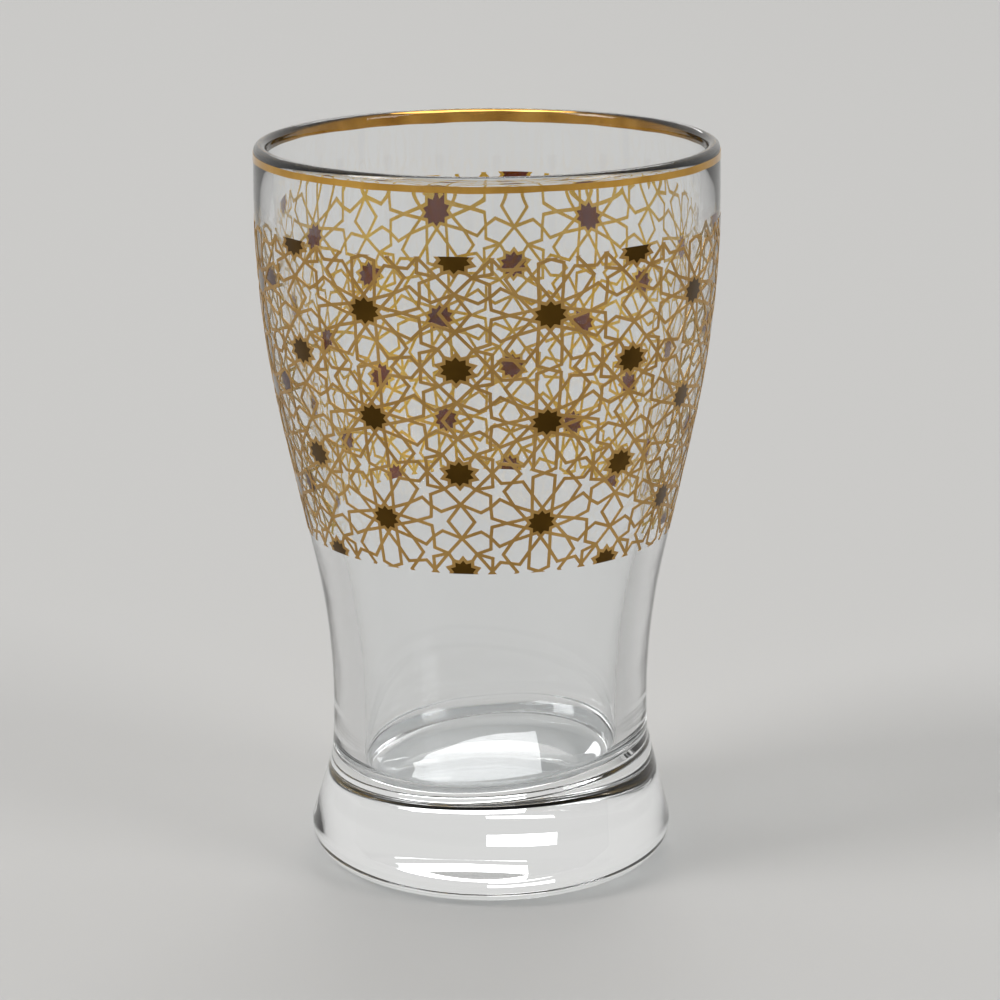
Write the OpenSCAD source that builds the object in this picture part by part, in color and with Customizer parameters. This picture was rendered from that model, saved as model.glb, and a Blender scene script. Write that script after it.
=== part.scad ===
// Moroccan tea glass: a waisted clear bowl on a solid flared foot, with a gold line
// under the lip and a fired-on gold band of ten-pointed strapwork round the bowl.
// Millimetres, Z up, origin at the middle of the ring that the foot stands on.

/* [Bowl] */
// Height from the table to the top of the lip
glass_height = 96.2; // [89:0.1:106]
// Outside radius where the bowl is widest
belly_radius = 30.1; // [28:0.1:33]
// Distance from the top of the lip down to the widest place
belly_drop = 7; // [5:0.5:10]
// Outside radius at the waist
waist_radius = 21.1; // [19:0.1:23]
// Height of the waist
waist_height = 21.7; // [19:0.1:25]
// Wall thickness at the lip
lip_wall = 1.7; // [1.4:0.1:2.2]
// Wall thickness where the wall meets the floor of the bowl
base_wall = 4.3; // [3.6:0.1:5.2]
// Height of the floor of the bowl, the top of the solid foot
floor_height = 13.2; // [11.5:0.1:15.5]
// Radius of the round corner between wall and floor
floor_corner = 2.5; // [1.5:0.1:4]

/* [Foot] */
// How far the foot stands out from the waist
foot_flare = 3.2; // [2.4:0.1:4.5]
// Radius of the round lower edge of the foot
foot_edge = 3.6; // [2.5:0.1:4.2]
// Height of the crease where bowl and foot meet
crease_height = 13.5; // [12:0.1:15.5]
// Height over which the crease runs
crease_rise = 1.2; // [0.8:0.1:2]
// How far the foot stands out from the bowl at the crease
crease_step = 0.35; // [0.15:0.05:0.7]
// Radius of the shallow hollow under the foot
hollow_radius = 15; // [11:0.5:16.5]
// Depth of the shallow hollow under the foot
hollow_depth = 0.6; // [0.3:0.1:1.5]

/* [Gold] */
// Thickness of the fired-on gold
film = 0.06; // [0.04:0.01:0.12]
// Distance from the round of the lip down to the gold line
rim_line_gap = 0.2; // [0.1:0.05:0.8]
// Width of the gold line
rim_line_width = 0.95; // [0.7:0.05:1.6]
// Distance from the top of the lip to the upper edge of the printed band
band_drop = 9.6; // [8:0.1:12]
// Height of the printed band
band_height = 41.4; // [38:0.1:44]
// Width of the straps of the pattern
strap = 0.42; // [0.36:0.02:0.48]

/* [Hidden] */
$fn = 96;

// Bowl wall: waist arc, straight cone and belly arc, all tangent to one another. The two arcs take
// most of the largest radii that fit between waist and belly, so a short cone is left between them.
curves_share = 0.935;
waist_curve_share = 0.386;
belly_height = glass_height - belly_drop;
waist_to_belly = belly_height - waist_height;
waist_to_belly_out = belly_radius - waist_radius;
largest_curves = (pow(waist_to_belly, 2) + pow(waist_to_belly_out, 2)) / (2 * waist_to_belly_out);
both_curves = curves_share * largest_curves;
waist_curve = waist_curve_share * both_curves;
belly_curve = both_curves - waist_curve;
middles_out = both_curves - waist_to_belly_out;
wall_lean = asin(both_curves / norm([waist_to_belly, middles_out])) - atan2(middles_out, waist_to_belly);
lip_round = lip_wall / 2;
lip_start = glass_height - lip_round;
lip_lean = -asin((lip_start - belly_height) / belly_curve);
crease_top = crease_height + crease_rise;
crease_lean = -asin((waist_height - crease_top) / waist_curve);
waist_steps = 5;
lower_steps = 3;
belly_steps = 6;
lip_steps = 10;
lip_step = 180 / lip_steps;

function waist_point(lean) = [
    waist_radius + waist_curve * (1 - cos(lean)),
    waist_height + waist_curve * sin(lean)
];
function belly_point(lean) = [
    belly_radius - belly_curve * (1 - cos(lean)),
    belly_height - belly_curve * sin(lean)
];
bowl_wall = concat(
    [for (i = [0 : lower_steps - 1]) waist_point(crease_lean * (1 - i / lower_steps))],
    [for (i = [0 : waist_steps]) waist_point(wall_lean * i / waist_steps)],
    [for (i = [0 : belly_steps]) belly_point(wall_lean * (1 - i / belly_steps))],
    [belly_point(lip_lean)]
);
wall_by_height = [for (p = bowl_wall) [p[1], p[0]]];
function wall_radius(height) = lookup(height, wall_by_height);
lip_middle = [wall_radius(lip_start) - lip_round, lip_start];
function around(middle, radius, angle) = middle + radius * [cos(angle), sin(angle)];

// Foot: round lower edge, straight flare and the soft step of the crease.
foot_radius = waist_radius + foot_flare;
foot_edge_middle = [foot_radius - foot_edge, foot_edge];
shoulder = [bowl_wall[0][0] + crease_step, crease_height];
to_shoulder = shoulder - foot_edge_middle;
flare_start = atan2(to_shoulder[1], to_shoulder[0]) - acos(foot_edge / norm(to_shoulder));
edge_steps = 8;
crease_steps = 6;
foot_edge_arc = [
    for (i = [0 : edge_steps]) around(foot_edge_middle, foot_edge, -90 + (flare_start + 90) * i / edge_steps)
];
crease_curve = [
    for (i = [0 : crease_steps - 1]) let (turn = 180 * i / crease_steps)
        shoulder + [-crease_step * (1 - cos(turn)) / 2, crease_rise * i / crease_steps]
];

// Inside of the bowl: the wall thins towards the lip, and fastest just below it.
inner_steps = 18;
corner_steps = 6;
hollow_steps = 6;
corner_top = floor_height + floor_corner;
thinning_power = 0.6;
function depth_share(height) = (lip_start - height) / (lip_start - floor_height);
function wall_thickness(height) =
    lip_wall + (base_wall - lip_wall) * pow(depth_share(height), thinning_power);
function inner_radius(height) = wall_radius(height) - wall_thickness(height);
inner_wall = [
    for (i = [1 : inner_steps]) let (height = lip_start + (corner_top - lip_start) * i / inner_steps)
        [inner_radius(height), height]
];
corner_middle = [inner_radius(corner_top) - floor_corner, corner_top];
floor_curve = [for (i = [1 : corner_steps]) around(corner_middle, floor_corner, -90 * i / corner_steps)];
hollow_curve = [
    for (i = [0 : hollow_steps]) let (share = i / hollow_steps)
        [hollow_radius * share, hollow_depth * (1 - pow(share, 2))]
];

// One repeat of the pattern, in half repeats across and half rows up from a rosette's middle.
// Its diamond stands at [1, 1], with a star a little below the diamond's middle.
// The other three quarters are mirrored.
join_across_share = 0.435;
join_up_share = 0.6;
tip_share = 0.49;
notch_share = 0.73;
diamond_star = [1, 0.96];
function ring_point(share, angle) = share * [join_across_share * cos(angle), join_up_share * sin(angle)];
star_points = 10;
star_step = 360 / star_points;
function petal_join(k) = ring_point(1, star_step * k);
function star_tip(k) = ring_point(tip_share, star_step * (k + 1 / 2));
function star_notch(k) = ring_point(tip_share * notch_share, star_step * k);
function diamond_tip(k) = diamond_star + star_tip(k);
function diamond_notch(k) = diamond_star + star_notch(k);
top_corner_shares = [0.135, 0.925];
top_meeting_shares = [0, 1];
high_corner_shares = [0.255, 0.845];
high_meeting_shares = [0.385, 0.82];
high_outer_shares = [0.475, 0.645];
low_outer_shares = [0.525, 0.48];
side_meeting_shares = [0.635, 0.31];
side_corner_shares = [0.62, 0.09];
knot_shares = [0.61, 0.73];
barrel_corner_shares = [0.51, 0.805];
barrel_end_shares = [0.285, 1];
leaf_corner_shares = [0.635, 0.54];
leaf_foot_shares = [0.755, 0.195];
lozenge_side_shares = [0.835, 0];
diamond_edge_shares = [0.815, 0.655];
diamond_side_shares = [0.615, 1];
diamond_foot_shares = [1, 0.345];

function across(p) = [-p[0], p[1]];
function down(p) = [p[0], -p[1]];
function over_right(p) = [2 - p[0], p[1]];
function over_top(p) = [p[0], 2 - p[1]];

high_petal = [
    star_tip(1), petal_join(2), high_corner_shares, high_meeting_shares, high_outer_shares, petal_join(1)
];
side_petal = [
    star_tip(0), petal_join(1), low_outer_shares, side_meeting_shares, side_corner_shares, petal_join(0)
];
leaf = [diamond_foot_shares, diamond_edge_shares, leaf_corner_shares, side_meeting_shares, leaf_foot_shares];
quarter_star = [
    petal_join(1), high_outer_shares, high_meeting_shares, barrel_corner_shares, diamond_side_shares,
    knot_shares, diamond_edge_shares, leaf_corner_shares, side_meeting_shares, low_outer_shares
];
corner_triangle = [diamond_edge_shares, knot_shares, diamond_side_shares];
top_petal = [
    star_tip(2), petal_join(2), top_corner_shares, top_meeting_shares,
    across(top_corner_shares), petal_join(3)
];
side_star_half = [
    petal_join(0), side_corner_shares, side_meeting_shares, leaf_foot_shares,
    diamond_foot_shares, lozenge_side_shares
];
top_star_half = [
    barrel_end_shares, high_meeting_shares, high_corner_shares, petal_join(2),
    top_corner_shares, top_meeting_shares
];
barrel_half = [barrel_end_shares, high_meeting_shares, barrel_corner_shares, diamond_side_shares];
heart = [
    diamond_foot_shares, diamond_edge_shares, diamond_tip(6), diamond_notch(7), diamond_tip(7),
    diamond_notch(8), diamond_tip(8), over_right(diamond_edge_shares)
];
gable = [
    over_top(diamond_foot_shares), over_top(diamond_edge_shares), diamond_tip(3), diamond_notch(3),
    diamond_tip(2), diamond_notch(2), diamond_tip(1), over_top(over_right(diamond_edge_shares))
];
lozenge = [
    diamond_foot_shares, lozenge_side_shares, down(diamond_foot_shares), over_right(lozenge_side_shares)
];
diamond_gap = [
    diamond_edge_shares, diamond_side_shares, over_top(diamond_edge_shares), diamond_tip(3), diamond_notch(4),
    diamond_tip(4), diamond_notch(5), diamond_tip(5), diamond_notch(6), diamond_tip(6)
];
star = [for (k = [0 : star_points - 1]) each [star_tip(k), star_notch(k + 1)]];
star_of_diamond = [for (p = star) diamond_star + p];

function mirrored(cell) = [cell, [for (p = cell) across(p)]];
function upright(cell) = [cell, [for (p = cell) down(p)]];
function inner_points(half) = [for (i = [len(half) - 2 : -1 : 1]) half[i]];
function with_below(half) = concat(half, [for (p = inner_points(half)) down(p)]);
function with_above(half) = concat(half, [for (p = inner_points(half)) over_top(p)]);

// Windows between the straps that lie round a rosette, and those on the line of the diamond stars.
rosette_windows = concat(
    [for (cell = [high_petal, side_petal, leaf, quarter_star, corner_triangle]) each
        [for (half = mirrored(cell)) each upright(half)]],
    upright(top_petal),
    mirrored(with_below(side_star_half)),
    [for (k = [0 : star_points - 1]) [star_notch(k), star_tip(k), petal_join(k), star_tip(k - 1)]],
    [lozenge]
);
diamond_windows = concat(
    mirrored(with_above(top_star_half)),
    mirrored(with_above(barrel_half)),
    [heart, gable],
    [diamond_gap, [for (p = diamond_gap) over_right(p)]]
);

// Places of the pattern on the wall: across becomes an angle, up becomes a distance along the wall.
repeats = 8;
half_repeat = 180 / repeats;
pattern_turn = 285.05;
rows_each_way = 1;
wall_along = [
    for (i = [0 : len(bowl_wall) - 1]) [bowl_wall[i][1], run_length(i)]
];
function run_length(i) = i == 0 ? 0 : run_length(i - 1) + norm(bowl_wall[i] - bowl_wall[i - 1]);
wall_heights = [for (p = wall_along) [p[1], p[0]]];
// The band begins and ends some half rows below and above its middle row of rosettes.
rows_below_shares = 3.02;
rows_above_shares = 3.06;
band_top = glass_height - band_drop;
band_bottom = band_top - band_height;
bottom_along = lookup(band_bottom, wall_along);
half_row = (lookup(band_top, wall_along) - bottom_along) / (rows_below_shares + rows_above_shares);
middle_along = bottom_along + rows_below_shares * half_row;
// The columns of diamonds stand a little higher than the columns of rosettes.
lift_share = 0.055;
function lifted(p, row) = p[1] + 2 * row + lift_share * (1 - cos(180 * p[0])) / 2;
function height_at(up) = lookup(middle_along + up * half_row, wall_heights);

function total(list, i = 0) = i < len(list) ? list[i] + total(list, i + 1) : 0;
function middle_across(cell) = total([for (p = cell) p[0]]) / len(cell);
function unit(v) = v / norm(v);
function left_of(v) = [-v[1], v[0]];
function area(outline) = total([
    for (i = [0 : len(outline) - 1]) let (a = outline[i], b = outline[(i + 1) % len(outline)])
        (a[0] * b[1] - b[0] * a[1]) / 2
]);
// Outline of a window: each edge is moved in by half a strap.
function inset(outline, depth) = let (n = len(outline), way = sign(area(outline))) [
    for (i = [0 : n - 1])
        let (
            before = way * left_of(unit(outline[i] - outline[(i + n - 1) % n])),
            after = way * left_of(unit(outline[(i + 1) % n] - outline[i]))
        )
        outline[i] + depth * (before + after) / (1 + before * after)
];
function on_wall(cell, row, face_angle) = [
    for (p = cell) let (height = height_at(lifted(p, row)))
        [wall_radius(height) * sin(half_repeat * p[0] - face_angle), height]
];

// How far a punch runs past the gold on both sides.
overrun = 0.5;
// A straight punch through the gold, with the outline of one window.
module punch(cell, repeat, row) {
    face_angle = half_repeat * middle_across(cell);
    heights = [for (p = cell) height_at(lifted(p, row))];
    half_width = max([for (p = cell) abs(half_repeat * p[0] - face_angle)]);
    start = wall_radius(min(heights)) * cos(half_width) - overrun;
    end = wall_radius(max(heights)) + film + overrun;
    outline = inset(on_wall(cell, row, face_angle), strap / 2);
    rotate([0, 0, pattern_turn + 2 * half_repeat * repeat + face_angle + 90])
        rotate([90, 0, 0])
            translate([0, 0, start])
                linear_extrude(height = end - start)
                    polygon(outline);
}

// Gold on the outside of the wall between two heights, all round or over part of a turn.
module gold_shell(low, high, turn = 360) {
    heights = concat([low], [for (p = bowl_wall) if (p[1] > low && p[1] < high) p[1]], [high]);
    last = len(heights) - 1;
    rotate_extrude(angle = turn)
        polygon(concat(
            [for (h = heights) [wall_radius(h), h]],
            [for (i = [last : -1 : 0]) [wall_radius(heights[i]) + film, heights[i]]]
        ));
}

module glass_body() {
    color([0.86, 0.9, 0.92, 0.35])
        rotate_extrude()
            polygon(concat(
                hollow_curve,
                foot_edge_arc,
                crease_curve,
                bowl_wall,
                [for (i = [1 : lip_steps]) around(lip_middle, lip_round, lip_step * i)],
                inner_wall,
                floor_curve,
                [[0, floor_height]]
            ));
}

module rim_line() {
    line_top = lip_start - rim_line_gap;
    color([0.85, 0.62, 0.22])
        gold_shell(line_top - rim_line_width, line_top);
}

// The print is laid on in four sheets. Their seams run clear of the corners of all windows.
sheets = 4;
sheet_repeats = repeats / sheets;
seam_share = 0.705;
function reaches(cell, repeat, row, seam) =
    let (places = [for (p = cell) p[0] + 2 * repeat], ups = [for (p = cell) lifted(p, row)])
    max(places) > seam && min(places) < seam + 2 * sheet_repeats
        && max(ups) > -rows_below_shares && min(ups) < rows_above_shares;

// One sheet of the print: gold with a window cut between every strap.
module strapwork(sheet) {
    first = sheet * sheet_repeats;
    seam = seam_share + 2 * first;
    color([0.72, 0.52, 0.25])
        difference() {
            rotate([0, 0, pattern_turn + half_repeat * seam])
                gold_shell(band_bottom, band_top, 2 * half_repeat * sheet_repeats);
            for (repeat = [first : first + sheet_repeats]) {
                for (row = [-rows_each_way - 1 : rows_each_way + 1]) {
                    for (cell = concat(rosette_windows, diamond_windows, [star, star_of_diamond])) {
                        if (reaches(cell, repeat, row, seam)) {
                            punch(cell, repeat, row);
                        }
                    }
                }
            }
        }
}

module strapwork_front() {
    strapwork(-1);
}

module strapwork_right() {
    strapwork(0);
}

module strapwork_back() {
    strapwork(1);
}

module strapwork_left() {
    strapwork(2);
}

module rosette_stars() {
    color([0.36, 0.24, 0.1])
        intersection() {
            gold_shell(band_bottom, band_top);
            for (repeat = [0 : repeats - 1]) {
                for (row = [-rows_each_way : rows_each_way]) {
                    punch(star, repeat, row);
                }
            }
        }
}

module diamond_stars() {
    color([0.36, 0.24, 0.1])
        intersection() {
            gold_shell(band_bottom, band_top);
            for (repeat = [0 : repeats - 1]) {
                for (row = [-rows_each_way - 1 : rows_each_way]) {
                    punch(star_of_diamond, repeat, row);
                }
            }
        }
}

glass_body();
rim_line();
strapwork_front();
strapwork_right();
strapwork_back();
strapwork_left();
rosette_stars();
diamond_stars();
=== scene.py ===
import math

import bmesh
import bpy
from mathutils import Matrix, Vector


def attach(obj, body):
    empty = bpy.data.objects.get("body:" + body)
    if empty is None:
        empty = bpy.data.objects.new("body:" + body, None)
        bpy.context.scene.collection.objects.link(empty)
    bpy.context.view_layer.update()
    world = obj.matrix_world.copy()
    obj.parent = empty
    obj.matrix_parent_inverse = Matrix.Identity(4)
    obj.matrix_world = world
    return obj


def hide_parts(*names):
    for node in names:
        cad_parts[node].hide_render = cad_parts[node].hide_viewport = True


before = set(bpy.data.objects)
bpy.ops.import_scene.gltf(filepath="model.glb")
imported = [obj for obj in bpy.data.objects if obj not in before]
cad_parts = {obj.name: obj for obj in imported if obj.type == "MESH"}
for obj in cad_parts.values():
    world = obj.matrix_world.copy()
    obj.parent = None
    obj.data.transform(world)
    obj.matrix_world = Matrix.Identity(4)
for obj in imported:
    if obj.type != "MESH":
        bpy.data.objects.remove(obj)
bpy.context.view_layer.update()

# Sizes of the glass and its gold, the same as in the part's source
MM = 0.001
glass_height = 96.2 * MM
belly_radius = 30.1 * MM
belly_drop = 7 * MM
waist_radius = 21.1 * MM
waist_height = 21.7 * MM
lip_wall = 1.7 * MM
base_wall = 4.3 * MM
floor_height = 13.2 * MM
floor_corner = 2.5 * MM
foot_flare = 3.2 * MM
foot_edge = 3.6 * MM
crease_height = 13.5 * MM
crease_rise = 1.2 * MM
crease_step = 0.35 * MM
hollow_radius = 15 * MM
hollow_depth = 0.6 * MM
film = 0.06 * MM
rim_line_gap = 0.2 * MM
rim_line_width = 0.95 * MM
band_drop = 9.6 * MM
band_height = 41.4 * MM
strap = 0.42 * MM
curves_share = 0.935
waist_curve_share = 0.386
thinning_power = 0.6

# What is uneven on this one glass, and the seat of the gold, a little inside the wall to leave no air
crease_tilt = math.radians(3.7)
floor_tilt = math.radians(5)
print_rise = 0.65 * MM
line_rise = 0.15 * MM
line_wander = 0.03 * MM
film_seat = -0.008 * MM


def around(middle, radius, degrees):
    """A point on a circle."""
    turn = math.radians(degrees)
    return middle[0] + radius * math.cos(turn), middle[1] + radius * math.sin(turn)


def part_way(a, b, share):
    """The point at a share of the way from a to b."""
    return a[0] + share * (b[0] - a[0]), a[1] + share * (b[1] - a[1])


def steps(count):
    """Shares from 0 to 1 in equal steps."""
    return [i / count for i in range(count + 1)]


def add_object(name, data):
    """A new object in the scene."""
    made = bpy.data.objects.new(name, data)
    bpy.context.scene.collection.objects.link(made)
    return made


# Shape of the bowl wall: waist arc, short cone, belly arc
belly_height = glass_height - belly_drop
rise = belly_height - waist_height
reach = belly_radius - waist_radius
both_curves = curves_share * (rise**2 + reach**2) / (2 * reach)
waist_curve = waist_curve_share * both_curves
belly_curve = both_curves - waist_curve
middles_out = both_curves - reach
wall_lean = math.asin(both_curves / math.hypot(rise, middles_out)) - math.atan2(middles_out, rise)
lip_round = lip_wall / 2
lip_start = glass_height - lip_round
crease_top = crease_height + crease_rise
crease_lean = -math.asin((waist_height - crease_top) / waist_curve)


def waist_point(lean):
    """A point on the waist arc, where the wall leans out by lean."""
    radius = waist_radius + waist_curve * (1 - math.cos(lean))
    return radius, waist_height + waist_curve * math.sin(lean)


def belly_point(lean):
    """A point on the belly arc, where the wall leans out by lean."""
    radius = belly_radius - belly_curve * (1 - math.cos(lean))
    return radius, belly_height - belly_curve * math.sin(lean)


cone_foot = waist_point(wall_lean)
cone_head = belly_point(wall_lean)
waist_run = waist_curve * (wall_lean - crease_lean)
cone_run = math.dist(cone_foot, cone_head)


def wall_at(along):
    """Radius, height and lean of the wall at a distance along it from the crease."""
    if along < waist_run:
        lean = crease_lean + along / waist_curve
        return *waist_point(lean), lean
    if along < waist_run + cone_run:
        return *part_way(cone_foot, cone_head, (along - waist_run) / cone_run), wall_lean
    lean = wall_lean - (along - waist_run - cone_run) / belly_curve
    return *belly_point(lean), lean


def along_at(height):
    """Distance along the wall from the crease up to a height."""
    if height < cone_foot[1]:
        return waist_curve * (math.asin((height - waist_height) / waist_curve) - crease_lean)
    if height < cone_head[1]:
        return waist_run + cone_run * (height - cone_foot[1]) / (cone_head[1] - cone_foot[1])
    lean = math.asin((belly_height - height) / belly_curve)
    return waist_run + cone_run + belly_curve * (wall_lean - lean)


def off_wall(along, lift):
    """Radius and height of a place that stands off the wall by lift."""
    radius, height, lean = wall_at(along)
    return radius + lift * math.cos(lean), height - lift * math.sin(lean)


# Materials: most values of the noise lie between low and high, and a grain is a count per metre
noise_low = 0.3
noise_high = 0.7
noise_detail = 3.0
cloud_grain = 180.0
gloss_grain = 900.0
gold_bump = 0.35


def set_inputs(tree, node, inputs):
    """Links each input of a node to another node's output, or sets its plain value."""
    for name, value in inputs.items():
        if isinstance(value, bpy.types.NodeSocket):
            tree.links.new(value, node.inputs[name])
        else:
            node.inputs[name].default_value = value


def add_node(tree, kind, inputs):
    made = tree.nodes.new(kind)
    set_inputs(tree, made, inputs)
    return made


def material(name):
    made = bpy.data.materials.new(name)
    made.use_nodes = True
    return made, made.node_tree, made.node_tree.nodes["Principled BSDF"]


def noise(tree, grain, detail=noise_detail):
    """Noise on the piece's own coordinates."""
    place = tree.nodes.new("ShaderNodeTexCoord").outputs["Object"]
    inputs = {"Vector": place, "Scale": grain, "Detail": detail}
    return add_node(tree, "ShaderNodeTexNoise", inputs).outputs["Fac"]


def color_between(tree, value, dark, light):
    """A colour that goes from dark to light with the noise."""
    made = add_node(tree, "ShaderNodeValToRGB", {"Fac": value})
    low_stop, high_stop = made.color_ramp.elements
    low_stop.position, low_stop.color = noise_low, (*dark, 1)
    high_stop.position, high_stop.color = noise_high, (*light, 1)
    return made.outputs["Color"]


def number_between(tree, value, low, high):
    """A number that goes from low to high with the noise."""
    inputs = {
        "Value": value,
        "From Min": noise_low,
        "From Max": noise_high,
        "To Min": low,
        "To Max": high,
    }
    return add_node(tree, "ShaderNodeMapRange", inputs).outputs["Result"]


def bump(tree, value, strength, distance):
    inputs = {"Height": value, "Strength": strength, "Distance": distance}
    return add_node(tree, "ShaderNodeBump", inputs).outputs["Normal"]


def gold(name, dark, light, roughness, grain, grain_depth):
    """Fired-on gold: colour and gloss vary in clouds, and a fine grain breaks the shine."""
    made, tree, shader = material(name)
    surface = {
        "Base Color": color_between(tree, noise(tree, cloud_grain), dark, light),
        "Metallic": 1.0,
        "Roughness": number_between(tree, noise(tree, gloss_grain), *roughness),
        "Normal": bump(tree, noise(tree, grain), gold_bump, grain_depth),
    }
    set_inputs(tree, shader, surface)
    return made


def clear_glass():
    """Clear pressed glass with an uneven skin. Each surface lets half of the lamps' light through."""
    lamp_light_through = (0.5, 0.52, 0.53, 1)
    largest_roughness = 0.012
    patch_grain = 60.0
    skin_grain = 90.0
    skin_detail = 1.0
    skin_bump = 0.12
    skin_depth = 0.3 * MM
    made, tree, shader = material("clear_glass")
    surface = {
        "Base Color": (0.97, 0.98, 0.985, 1),
        "Transmission Weight": 1.0,
        "IOR": 1.5,
        "Roughness": number_between(tree, noise(tree, patch_grain), 0.0, largest_roughness),
        "Normal": bump(tree, noise(tree, skin_grain, skin_detail), skin_bump, skin_depth),
    }
    set_inputs(tree, shader, surface)
    path = tree.nodes.new("ShaderNodeLightPath")
    through = add_node(tree, "ShaderNodeBsdfTransparent", {"Color": lamp_light_through})
    mixed = {
        "Fac": path.outputs["Is Shadow Ray"],
        1: shader.outputs["BSDF"],
        2: through.outputs["BSDF"],
    }
    mix = add_node(tree, "ShaderNodeMixShader", mixed)
    tree.links.new(mix.outputs["Shader"], tree.nodes["Material Output"].inputs["Surface"])
    return made


glass = clear_glass()
bright_gold = gold(
    "bright_gold",
    dark=(0.46, 0.24, 0.04),
    light=(0.72, 0.42, 0.1),
    roughness=(0.1, 0.2),
    grain=3000.0,
    grain_depth=0.01 * MM,
)
matt_gold = gold(
    "matt_gold",
    dark=(0.42, 0.24, 0.07),
    light=(0.58, 0.36, 0.12),
    roughness=(0.36, 0.5),
    grain=12000.0,
    grain_depth=0.02 * MM,
)
matt_gold_back = gold(
    "matt_gold_back",
    dark=(0.82, 0.5, 0.05),
    light=(0.97, 0.66, 0.1),
    roughness=(0.3, 0.42),
    grain=8000.0,
    grain_depth=0.01 * MM,
)
mirror_gold = gold(
    "mirror_gold",
    dark=(0.066, 0.034, 0.006),
    light=(0.12, 0.062, 0.01),
    roughness=(0.12, 0.2),
    grain=2000.0,
    grain_depth=0.01 * MM,
)
mirror_gold_back = gold(
    "mirror_gold_back",
    dark=(0.13, 0.014, 0.002),
    light=(0.21, 0.034, 0.005),
    roughness=(0.3, 0.45),
    grain=6000.0,
    grain_depth=0.02 * MM,
)


# Pieces turned on the axis, and the number of steps in which each curve is drawn
sharp_angle = math.radians(40)
turned_merge = 0.0005 * MM
around_steps = 256
hollow_steps = 16
foot_edge_steps = 16
flare_steps = 6
crease_steps = 14
wall_steps = 72
lip_steps = 20
inside_steps = 60
inside_crowding = 1.5
corner_steps = 14
floor_steps = 4
line_steps = 5

# Wander of the rim line: waves round the glass, with the start and the share of each
line_waves = ((5, 0.7, 1), (13, 0, 1), (29, 2, 0.6))
line_top_share = 0.3


def finish_mesh(name, mesh, *materials):
    """A piece with smooth faces, and with sharp edges only where they are steep."""
    mesh.polygons.foreach_set("use_smooth", [True] * len(mesh.polygons))
    mesh.set_sharp_from_angle(angle=sharp_angle)
    piece = add_object(name, mesh)
    for one in materials:
        mesh.materials.append(one)
    return piece


def turned(name, outline, closed, one_material):
    """A piece turned on the axis. The outline gives its points at a turn angle, as a closed ring or as a
    run from the axis to the axis."""
    shape = bmesh.new()
    rings = []
    for i in range(around_steps):
        turn = 2 * math.pi * i / around_steps
        places = [(r * math.cos(turn), r * math.sin(turn), z) for r, z in outline(turn)]
        rings.append([shape.verts.new(p) for p in places])
    for i in range(around_steps):
        here, there = rings[i], rings[(i + 1) % around_steps]
        count = len(here)
        for j in range(count if closed else count - 1):
            k = (j + 1) % count
            shape.faces.new((here[j], there[j], there[k], here[k]))
    bmesh.ops.remove_doubles(shape, verts=shape.verts, dist=turned_merge)
    bmesh.ops.recalc_face_normals(shape, faces=shape.faces)
    mesh = bpy.data.meshes.new(name)
    shape.to_mesh(mesh)
    shape.free()
    return finish_mesh(name, mesh, one_material)


foot_radius = waist_radius + foot_flare
foot_edge_middle = (foot_radius - foot_edge, foot_edge)
wall_run = along_at(lip_start)
lip_middle = (wall_at(wall_run)[0] - lip_round, lip_start)


def inner_radius(height):
    """Radius of the inside: the wall thins towards the lip, and fastest just below it."""
    depth_share = (lip_start - height) / (lip_start - floor_height)
    wall = lip_wall + (base_wall - lip_wall) * depth_share**thinning_power
    return wall_at(along_at(height))[0] - wall


def foot_side(crease_up):
    """Round lower edge, straight flare and the soft step of the crease, which leans with the mould."""
    seam = (wall_at(along_at(crease_top + crease_up))[0], crease_height + crease_up)
    shoulder = (seam[0] + crease_step, seam[1])
    reach_out, reach_up = shoulder[0] - foot_edge_middle[0], shoulder[1] - foot_edge_middle[1]
    flare_start = math.degrees(
        math.atan2(reach_up, reach_out) - math.acos(foot_edge / math.hypot(reach_out, reach_up))
    )
    points = []
    for share in steps(foot_edge_steps):
        points.append(around(foot_edge_middle, foot_edge, -90 + (flare_start + 90) * share))
    flare_foot = points[-1]
    points += [part_way(flare_foot, shoulder, share) for share in steps(flare_steps)[1:-1]]
    for share in steps(crease_steps)[:-1]:
        out = crease_step * (1 + math.cos(math.pi * share)) / 2
        points.append((seam[0] + out, seam[1] + crease_rise * share))
    return points


def glass_outline(turn):
    """The glass at a turn angle, from the middle of the underside to the middle of the bowl's floor."""
    lean = math.cos(turn)
    crease_up = math.tan(crease_tilt) * waist_radius * lean
    seam_run = along_at(crease_top + crease_up)
    corner_radius = inner_radius(floor_height + floor_corner) - floor_corner
    corner_bottom = floor_height + math.tan(floor_tilt) * corner_radius * lean
    corner_top = corner_bottom + floor_corner
    corner_middle = (inner_radius(corner_top) - floor_corner, corner_top)
    points = [(hollow_radius * share, hollow_depth * (1 - share**2)) for share in steps(hollow_steps)]
    points += foot_side(crease_up)
    points += [wall_at(seam_run + (wall_run - seam_run) * share)[:2] for share in steps(wall_steps)]
    points += [around(lip_middle, lip_round, 180 * share) for share in steps(lip_steps)[1:]]
    for share in steps(inside_steps)[1:]:
        height = lip_start + (corner_top - lip_start) * share**inside_crowding
        points.append((inner_radius(height), height))
    for share in steps(corner_steps)[1:]:
        points.append(around(corner_middle, floor_corner, -90 * share))
    floor_edge = (corner_middle[0], corner_bottom)
    points += [part_way(floor_edge, (0, floor_height), share) for share in steps(floor_steps)[1:]]
    return points


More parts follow.
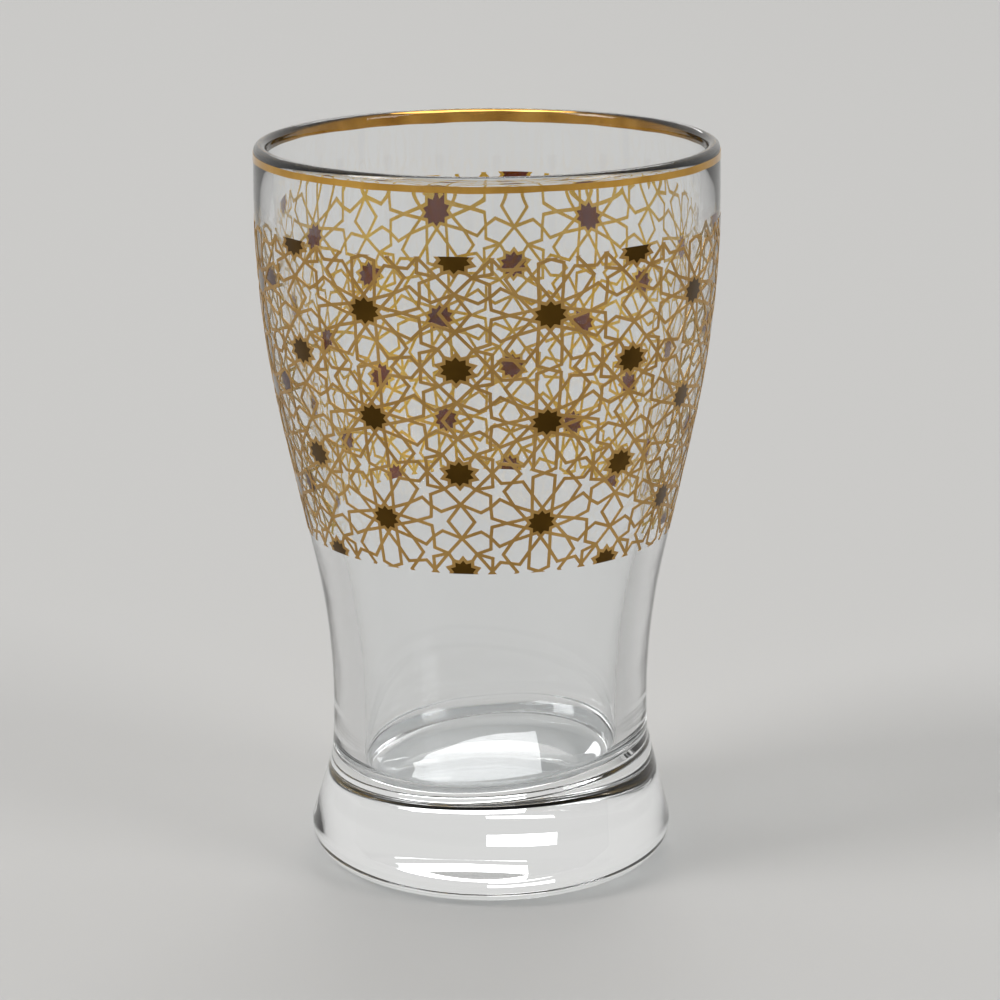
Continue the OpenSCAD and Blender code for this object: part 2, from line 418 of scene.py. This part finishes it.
def rim_line_outline(turn):
    """The brushed line under the lip: it is a little wider at the back, and its edges wander."""
    front_share = (1 - math.sin(turn)) / 2
    waves = [share * math.sin(count * turn + start) for count, start, share in line_waves]
    wander = line_wander * sum(waves)
    line_bottom = lip_start - rim_line_gap - rim_line_width
    top = along_at(lip_start - rim_line_gap * front_share) + line_top_share * wander
    bottom = along_at(line_bottom + line_rise * front_share) + wander
    places = [bottom + (top - bottom) * share for share in steps(line_steps)]
    outer = [off_wall(along, film) for along in places]
    inner = [off_wall(along, film_seat) for along in places]
    return outer + inner[::-1]


glass_body = turned("glass_body", glass_outline, False, glass)
rim_line = turned("rim_line", rim_line_outline, True, bright_gold)

# Points of the printed pattern, in half repeats across and half rows up from a rosette's middle
repeats = 8
half_repeat = math.pi / repeats
pattern_turn = math.radians(285.05)
rows_below_shares = 3.02
rows_above_shares = 3.06
band_top_along = along_at(glass_height - band_drop)
band_bottom_along = along_at(glass_height - band_drop - band_height)
half_row = (band_top_along - band_bottom_along) / (rows_below_shares + rows_above_shares)
middle_along = band_bottom_along + rows_below_shares * half_row
join_shares = (0.435, 0.6)
tip_share = 0.49
notch_share = 0.73
star_points = 10
star_step = 2 * math.pi / star_points
rosette_middle = (0, 0)
diamond_middle = (1, 0.96)


def ring_point(share, turn):
    """A point on the ring where the petals join, or at a share of it."""
    return share * join_shares[0] * math.cos(turn), share * join_shares[1] * math.sin(turn)


def petal_join(k):
    return ring_point(1, star_step * k)


def star_tip(k):
    return ring_point(tip_share, star_step * (k + 0.5))


def star_notch(k):
    return ring_point(tip_share * notch_share, star_step * k)


def at_diamond(p):
    return p[0] + diamond_middle[0], p[1] + diamond_middle[1]


def diamond_tip(k):
    return at_diamond(star_tip(k))


def diamond_notch(k):
    return at_diamond(star_notch(k))


def across(p):
    return -p[0], p[1]


def down(p):
    return p[0], -p[1]


def over_right(p):
    return 2 - p[0], p[1]


def over_top(p):
    return p[0], 2 - p[1]


top_corner = (0.135, 0.925)
top_meeting = (0, 1)
high_corner = (0.255, 0.845)
high_meeting = (0.385, 0.82)
high_outer = (0.475, 0.645)
low_outer = (0.525, 0.48)
side_meeting = (0.635, 0.31)
side_corner = (0.62, 0.09)
knot = (0.61, 0.73)
barrel_corner = (0.51, 0.805)
barrel_end = (0.285, 1)
leaf_corner = (0.635, 0.54)
leaf_foot = (0.755, 0.195)
lozenge_side = (0.835, 0)
diamond_edge = (0.815, 0.655)
diamond_side = (0.615, 1)
diamond_foot = (1, 0.345)


def left_and_right(cell):
    return [cell, [across(p) for p in cell]]


def in_quarters(cell):
    both = left_and_right(cell)
    return both + [[down(p) for p in one] for one in both]


def closed_below(half):
    return half + [down(p) for p in half[-2:0:-1]]


def closed_above(half):
    return half + [over_top(p) for p in half[-2:0:-1]]


star = [p for k in range(star_points) for p in (star_tip(k), star_notch(k + 1))]
diamond_star = [at_diamond(p) for p in star]
top_petal = [star_tip(2), petal_join(2), top_corner, top_meeting, across(top_corner), petal_join(3)]
rosette_windows = [star, top_petal, [down(p) for p in top_petal]]
for quarter in (
    [star_tip(1), petal_join(2), high_corner, high_meeting, high_outer, petal_join(1)],
    [star_tip(0), petal_join(1), low_outer, side_meeting, side_corner, petal_join(0)],
    [diamond_foot, diamond_edge, leaf_corner, side_meeting, leaf_foot],
    [petal_join(1), high_outer, high_meeting, barrel_corner, diamond_side]
    + [knot, diamond_edge, leaf_corner, side_meeting, low_outer],
    [diamond_edge, knot, diamond_side],
):
    rosette_windows += in_quarters(quarter)
rosette_windows += [
    [star_notch(k), star_tip(k), petal_join(k), star_tip(k - 1)] for k in range(star_points)
]
rosette_windows += left_and_right(
    closed_below([petal_join(0), side_corner, side_meeting, leaf_foot, diamond_foot, lozenge_side])
)
rosette_windows.append([diamond_foot, lozenge_side, down(diamond_foot), over_right(lozenge_side)])

diamond_gap = [diamond_edge, diamond_side, over_top(diamond_edge), diamond_tip(3), diamond_notch(4)]
diamond_gap += [diamond_tip(4), diamond_notch(5), diamond_tip(5), diamond_notch(6), diamond_tip(6)]
gable_edge = over_top(diamond_edge)
diamond_windows = [
    diamond_star,
    diamond_gap,
    [over_right(p) for p in diamond_gap],
    [diamond_foot, diamond_edge, diamond_tip(6), diamond_notch(7)]
    + [diamond_tip(7), diamond_notch(8), diamond_tip(8), over_right(diamond_edge)],
    [over_top(diamond_foot), gable_edge, diamond_tip(3), diamond_notch(3)]
    + [diamond_tip(2), diamond_notch(2), diamond_tip(1), over_right(gable_edge)],
]
diamond_windows += left_and_right(
    closed_above([barrel_end, high_meeting, high_corner, petal_join(2), top_corner, top_meeting])
)
diamond_windows += left_and_right(closed_above([barrel_end, high_meeting, barrel_corner, diamond_side]))


# The print, laid on the wall: its rows, and its edges and the rise of the diamonds in half rows
strap_rows = (-2, -1, 0, 1, 2)
rosette_rows = (-1, 0, 1)
diamond_rows = (-2, -1, 0, 1)
upper_cut = 3.02
lower_cut = -rows_below_shares
lift_share = 0.055
longest_step = 0.8 * MM
star_rings = 4
sheet_merge = 0.002 * MM
join_distance = 0.004 * MM
side_mark = "glass_side"


def moved(cell, row):
    return [(x, y + 2 * row) for x, y in cell]


def signed_area(cell):
    return sum(a[0] * b[1] - b[0] * a[1] for a, b in zip(cell, cell[1:] + cell[:1])) / 2


def inset(cell):
    """The outline of a window: each edge is moved in by half a strap, in real sizes."""
    heights = [y for _, y in cell]
    middle = wall_at(middle_along + half_row * (min(heights) + max(heights)) / 2)[0]
    scale = (middle * half_repeat, half_row)
    real = [Vector((x * scale[0], y * scale[1])) for x, y in cell]
    way = math.copysign(1, signed_area(cell))
    made = []
    for i, corner in enumerate(real):
        before = (corner - real[i - 1]).normalized().orthogonal() * way
        after = (real[(i + 1) % len(real)] - corner).normalized().orthogonal() * way
        place = corner + strap / 2 * (before + after) / (1 + before.dot(after))
        made.append((place.x / scale[0], place.y / scale[1]))
    return made


def edge_steps(a, b):
    """Places along an edge, close enough together to follow the round wall."""
    span = math.hypot((b[0] - a[0]) * belly_radius * half_repeat, (b[1] - a[1]) * half_row)
    return steps(max(1, math.ceil(span / longest_step)))


def add_face(sheet, places):
    if signed_area(places) < 0:
        places = places[::-1]
    sheet.faces.new([sheet.verts.new((x, y, 0)) for x, y in places])


def add_straps(sheet, cell):
    """The straps round one window, up to the middle line of each."""
    window = inset(cell)
    for i in range(len(cell)):
        a, b = cell[i], cell[(i + 1) % len(cell)]
        c, d = window[i], window[(i + 1) % len(cell)]
        shares = edge_steps(a, b)
        for low, high in zip(shares, shares[1:]):
            outer = [part_way(a, b, low), part_way(a, b, high)]
            add_face(sheet, outer + [part_way(c, d, high), part_way(c, d, low)])


def add_star(sheet, cell, middle):
    """The fill of a star, in rings round its middle so that it follows the wall."""
    window = inset(cell)
    ring_shares = steps(star_rings)
    for i in range(len(window)):
        a, b = window[i], window[(i + 1) % len(window)]
        for low, high in zip(ring_shares, ring_shares[1:]):
            outer = [part_way(middle, a, high), part_way(middle, b, high)]
            inner = [part_way(middle, b, low), part_way(middle, a, low)]
            add_face(sheet, outer + (inner if low else [middle]))


def cut_sheet(sheet, limit, way):
    """Cuts off what lies above a limit, or below it where way is -1."""
    whole = sheet.verts[:] + sheet.edges[:] + sheet.faces[:]
    edge, outwards = (0, limit, 0), (0, way, 0)
    bmesh.ops.bisect_plane(sheet, geom=whole, plane_co=edge, plane_no=outwards, clear_outer=True)


def on_wall(sheet):
    """Cuts a flat sheet at the edges of the band and lays it on the wall. The columns of diamonds sit a
    little higher than the rosettes. The upper edge rises with them, and the lower edge is level."""
    cut_sheet(sheet, upper_cut, 1)
    for vert in sheet.verts:
        vert.co.y += lift_share * (1 - math.cos(math.pi * vert.co.x)) / 2
    cut_sheet(sheet, lower_cut, -1)
    for vert in sheet.verts:
        radius, height = off_wall(middle_along + half_row * vert.co.y, film_seat)
        turn = pattern_turn + half_repeat * vert.co.x
        vert.co = (radius * math.cos(turn), radius * math.sin(turn), height)
    bmesh.ops.remove_doubles(sheet, verts=sheet.verts, dist=sheet_merge)


def print_tree():
    """Carries one repeat of the print round the bowl, joins the repeats and thickens them to a film."""
    tree = bpy.data.node_groups.new("print_round_the_bowl", "GeometryNodeTree")
    for name, kind in (
        ("Repeat", "NodeSocketGeometry"),
        ("Repeats", "NodeSocketInt"),
        ("Thickness", "NodeSocketFloat"),
        ("Join Distance", "NodeSocketFloat"),
        ("Outside", "NodeSocketMaterial"),
        ("Glass Side", "NodeSocketMaterial"),
    ):
        tree.interface.new_socket(name, in_out="INPUT", socket_type=kind)
    tree.interface.new_socket("Print", in_out="OUTPUT", socket_type="NodeSocketGeometry")
    given = tree.nodes.new("NodeGroupInput").outputs

    def math_node(operation, first, second):
        made = tree.nodes.new("ShaderNodeMath")
        made.operation = operation
        set_inputs(tree, made, {0: first, 1: second})
        return made.outputs["Value"]

    def merged(geometry):
        inputs = {"Geometry": geometry, "Distance": given["Join Distance"]}
        return add_node(tree, "GeometryNodeMergeByDistance", inputs).outputs["Geometry"]

    def realized(geometry):
        made = add_node(tree, "GeometryNodeRealizeInstances", {"Geometry": geometry})
        return made.outputs["Geometry"]

    index = tree.nodes.new("GeometryNodeInputIndex").outputs["Index"]
    turn = math_node("MULTIPLY", index, math_node("DIVIDE", 2 * math.pi, given["Repeats"]))
    about_axis = add_node(tree, "ShaderNodeCombineXYZ", {"Z": turn})
    rotation = add_node(tree, "FunctionNodeEulerToRotation", {"Euler": about_axis.outputs["Vector"]})
    points = add_node(tree, "GeometryNodePoints", {"Count": given["Repeats"]})
    copied = {
        "Points": points.outputs["Points"],
        "Instance": given["Repeat"],
        "Rotation": rotation.outputs["Rotation"],
    }
    copies = add_node(tree, "GeometryNodeInstanceOnPoints", copied)
    sheet = merged(realized(copies.outputs["Instances"]))

    raised = tree.nodes.new("GeometryNodeExtrudeMesh")
    raised.mode = "FACES"
    set_inputs(tree, raised, {"Mesh": sheet, "Offset Scale": given["Thickness"], "Individual": False})
    underside = add_node(tree, "GeometryNodeFlipFaces", {"Mesh": sheet})
    marked = tree.nodes.new("GeometryNodeStoreNamedAttribute")
    marked.data_type = "BOOLEAN"
    marked.domain = "FACE"
    set_inputs(tree, marked, {"Geometry": underside.outputs["Mesh"], "Name": side_mark, "Value": True})
    both = add_node(tree, "GeometryNodeJoinGeometry", {"Geometry": raised.outputs["Mesh"]})
    set_inputs(tree, both, {"Geometry": marked.outputs["Geometry"]})
    solid = realized(merged(both.outputs["Geometry"]))

    plain = {"Geometry": solid, "Material": given["Outside"]}
    outside = add_node(tree, "GeometryNodeSetMaterial", plain)
    side = tree.nodes.new("GeometryNodeInputNamedAttribute")
    side.data_type = "BOOLEAN"
    set_inputs(tree, side, {"Name": side_mark})
    dressed = {
        "Geometry": outside.outputs["Geometry"],
        "Selection": side.outputs["Attribute"],
        "Material": given["Glass Side"],
    }
    glass_side = add_node(tree, "GeometryNodeSetMaterial", dressed)
    add_node(tree, "NodeGroupOutput", {"Print": glass_side.outputs["Geometry"]})
    return tree


print_round_the_bowl = print_tree()
tree_sockets = print_round_the_bowl.interface.items_tree
input_names = {s.name: s.identifier for s in tree_sockets if s.in_out == "INPUT"}


def raise_at_back(mesh):
    """Slides the print up along the wall, by nothing at the front and by the whole rise at the back."""
    for vert in mesh.vertices:
        turn = math.atan2(vert.co.y, vert.co.x)
        slide = print_rise * (1 + math.sin(turn)) / 2
        lean = wall_at(along_at(vert.co.z))[2]
        out = slide * math.sin(lean)
        vert.co += Vector((out * math.cos(turn), out * math.sin(turn), slide * math.cos(lean)))


def printed(name, sheet, outside, glass_side):
    """One repeat of the print, carried round the bowl and made a plain mesh."""
    on_wall(sheet)
    mesh = bpy.data.meshes.new(name)
    sheet.to_mesh(mesh)
    sheet.free()
    carrier = add_object(name + "_repeat", mesh)
    modifier = carrier.modifiers.new("print", "NODES")
    modifier.node_group = print_round_the_bowl
    modifier[input_names["Repeats"]] = repeats
    modifier[input_names["Thickness"]] = film - film_seat
    modifier[input_names["Join Distance"]] = join_distance
    modifier[input_names["Outside"]] = outside
    modifier[input_names["Glass Side"]] = glass_side
    made = carrier.evaluated_get(bpy.context.evaluated_depsgraph_get())
    whole = bpy.data.meshes.new_from_object(made)
    bpy.data.objects.remove(carrier)
    whole.name = name
    raise_at_back(whole)
    return finish_mesh(name, whole)


straps = bmesh.new()
rosettes = bmesh.new()
diamonds = bmesh.new()
for row in strap_rows:
    for cell in rosette_windows + diamond_windows:
        add_straps(straps, moved(cell, row))
for row in rosette_rows:
    add_star(rosettes, moved(star, row), *moved([rosette_middle], row))
for row in diamond_rows:
    add_star(diamonds, moved(diamond_star, row), *moved([diamond_middle], row))
strapwork = printed("strapwork", straps, matt_gold, matt_gold_back)
rosette_stars = printed("rosette_stars", rosettes, mirror_gold, mirror_gold_back)
diamond_stars = printed("diamond_stars", diamonds, mirror_gold, mirror_gold_back)

# Every piece rides on the one body of the part
strap_nodes = [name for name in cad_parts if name.startswith("strapwork")]
for piece, nodes, slot in (
    (glass_body, ["glass_body"], "clear_glass"),
    (rim_line, ["rim_line"], "bright_gold"),
    (strapwork, strap_nodes, "matt_gold"),
    (rosette_stars, ["rosette_stars"], "mirror_gold"),
    (diamond_stars, ["diamond_stars"], "mirror_gold"),
):
    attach(piece, "root")
    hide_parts(*nodes)

# Studio: a pale floor, pale surroundings that are brighter behind the glass, and soft lamps
floor_reach = 30.0
floor_gap = 0.1 * MM
floor_sides = ((-1, -1), (1, -1), (1, 1), (-1, 1))
floor_mesh = bpy.data.meshes.new("floor")
corners = [(floor_reach * x, floor_reach * y, -floor_gap) for x, y in floor_sides]
floor_mesh.from_pydata(corners, [], [(0, 1, 2, 3)])
floor = add_object("floor", floor_mesh)
floor_paint, floor_nodes, floor_shader = material("pale_floor")
set_inputs(floor_nodes, floor_shader, {"Base Color": (0.6, 0.595, 0.585, 1), "Roughness": 0.7})
floor_mesh.materials.append(floor_paint)

# The surroundings by their direction: from -1 in front of the glass to 1 behind it
dim_until = -0.42
dim_strength = 0.22
bright_from = 0.62
bright_strength = 0.9
world = bpy.data.worlds.new("studio")
bpy.context.scene.world = world
world.use_nodes = True
world_tree = world.node_tree
facing = world_tree.nodes.new("ShaderNodeTexCoord")
direction = add_node(world_tree, "ShaderNodeSeparateXYZ", {"Vector": facing.outputs["Generated"]})
dim_to_bright = world_tree.nodes.new("ShaderNodeMapRange")
dim_to_bright.interpolation_type = "SMOOTHSTEP"
brightness = {
    "Value": direction.outputs["Y"],
    "From Min": dim_until,
    "From Max": bright_from,
    "To Min": dim_strength,
    "To Max": bright_strength,
}
set_inputs(world_tree, dim_to_bright, brightness)
surroundings = {"Color": (0.82, 0.815, 0.8, 1), "Strength": dim_to_bright.outputs["Result"]}
set_inputs(world_tree, world_tree.nodes["Background"], surroundings)

lamp_aim = Vector((0, 0, 50 * MM))


def lamp(name, place, size, power):
    """A soft lamp that faces the glass: place and size in metres, power in watts."""
    data = bpy.data.lights.new(name, "AREA")
    data.shape = "RECTANGLE"
    data.size, data.size_y = size
    data.energy = power
    made = add_object(name, data)
    made.location = place
    made.rotation_euler = (lamp_aim - made.location).to_track_quat("-Z", "Y").to_euler()


lamp("key_lamp", place=(-2.7, -1.0, 2.75), size=(1.25, 2.0), power=68.0)
lamp("fill_lamp", place=(2.75, -1.5, 2.0), size=(1.25, 2.0), power=36.0)
lamp("back_lamp", place=(0.5, 3.25, 3.0), size=(2.25, 1.25), power=30.0)
lamp("low_lamp", place=(-0.31, 2.8, 1.105), size=(0.7, 0.21), power=1.35)

# Camera at the photograph's viewing angle
camera_data = bpy.data.cameras.new("camera")
camera_data.lens = 108.0
camera_data.sensor_width = 36.0
camera = add_object("camera", camera_data)
camera.location = (2.01 * MM, -383.9 * MM, 154.5 * MM)
camera.rotation_euler = (math.radians(74.52), math.radians(0.3), 0)
bpy.context.scene.camera = camera
bpy.context.scene.view_settings.view_transform = "Standard"
